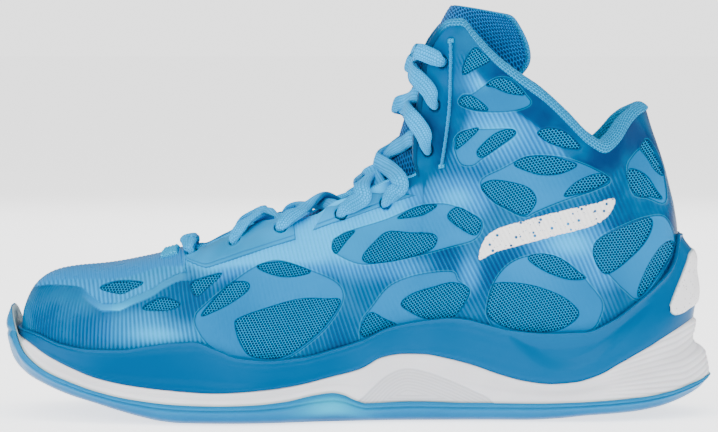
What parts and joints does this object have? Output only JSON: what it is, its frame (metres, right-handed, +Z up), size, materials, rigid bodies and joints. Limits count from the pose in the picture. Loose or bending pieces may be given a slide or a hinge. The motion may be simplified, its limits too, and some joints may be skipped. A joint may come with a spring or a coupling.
{
  "type": "basketball high-top shoe",
  "caption": "Left basketball high top with cupped sole, ribbed film over mesh, padded collar, hinged tongue, laced eyestays and a liftable sockliner.",
  "frame": {"origin": "centre of the footprint's bounding box, on the floor under the sole", "axes": "+X towards the heel, -X towards the toe, -Y the outer (lateral) side of this left shoe, +Z up"},
  "size_m": [0.3034, 0.1047, 0.1765],
  "materials": {
    "outsole_rubber": "translucent pale blue rubber",
    "midsole_foam": "white moulded foam",
    "cage_blue": "satin blue moulded TPU",
    "insert_white": "white textured TPU",
    "shank_plastic": "black fibre-filled plastic",
    "cushion_foam": "soft foam block",
    "strobel_felt": "stitched felt board",
    "sockliner_fabric": "knit-faced foam",
    "base_mesh": "dark blue mesh with light thread",
    "film_deep_blue": "glossy deep blue film",
    "film_light_blue": "glossy light blue ribbed film",
    "film_blue": "glossy ribbed blue film",
    "stiffener": "thermoplastic stiffener",
    "padding_foam": "open-cell padding foam",
    "lining_fabric": "knit lining",
    "collar_knit": "light blue knit",
    "eyestay_film": "pale blue welded film",
    "webbing": "woven webbing",
    "tongue_air_mesh": "deep blue air mesh",
    "lace_fabric": "light blue woven lace",
    "aglet_plastic": "clear blue plastic tip",
    "cord_fabric": "thin braided cord"
  },
  "bodies": {
    "shoe": {"outsole": "outsole_rubber", "midsole": "midsole_foam", "midsole_cage": "cage_blue", "heel_insert": "insert_white", "shank_plate": "shank_plastic", "heel_cushion": "cushion_foam", "forefoot_cushion": "cushion_foam", "strobel_board": "strobel_felt", "vamp_mesh": "base_mesh", "quarter_mesh_lateral": "base_mesh", "quarter_mesh_medial": "base_mesh", "heel_mesh": "base_mesh", "toe_film": "film_deep_blue", "vamp_film": "film_light_blue", "quarter_film_lateral": "film_blue", "quarter_film_medial": "film_blue", "back_seam_tape": "film_deep_blue", "toe_puff": "stiffener", "heel_counter": "stiffener", "collar_foam": "padding_foam", "collar_lining": "lining_fabric", "vamp_lining": "lining_fabric", "collar_binding": "collar_knit", "eyestay_front_lateral": "eyestay_film", "eyestay_front_medial": "eyestay_film", "eyestay_rear_lateral": "eyestay_film", "eyestay_rear_medial": "eyestay_film", "vamp_loop": "webbing", "lace": "lace_fabric", "aglet_lateral": "aglet_plastic", "aglet_medial": "aglet_plastic", "ankle_cord_lateral": "cord_fabric", "ankle_cord_medial": "cord_fabric"},
    "tongue": {"tongue_mesh": "tongue_air_mesh", "tongue_foam": "padding_foam", "tongue_lining": "lining_fabric", "tongue_binding": "collar_knit"},
    "sockliner_body": {"sockliner": "sockliner_fabric"}
  },
  "joints": [
    {"name": "tongue_hinge", "type": "hinge", "parent": "shoe", "child": "tongue", "pos_m": [-0.0758, 0, 0.0622], "axis": [0, 1, 0], "range_deg": [0, 7]},
    {"name": "sockliner_lift", "type": "hinge", "parent": "shoe", "child": "sockliner_body", "pos_m": [-0.1392, 0, 0.03], "axis": [0, -1, 0], "range_deg": [0, 7]}
  ]
}
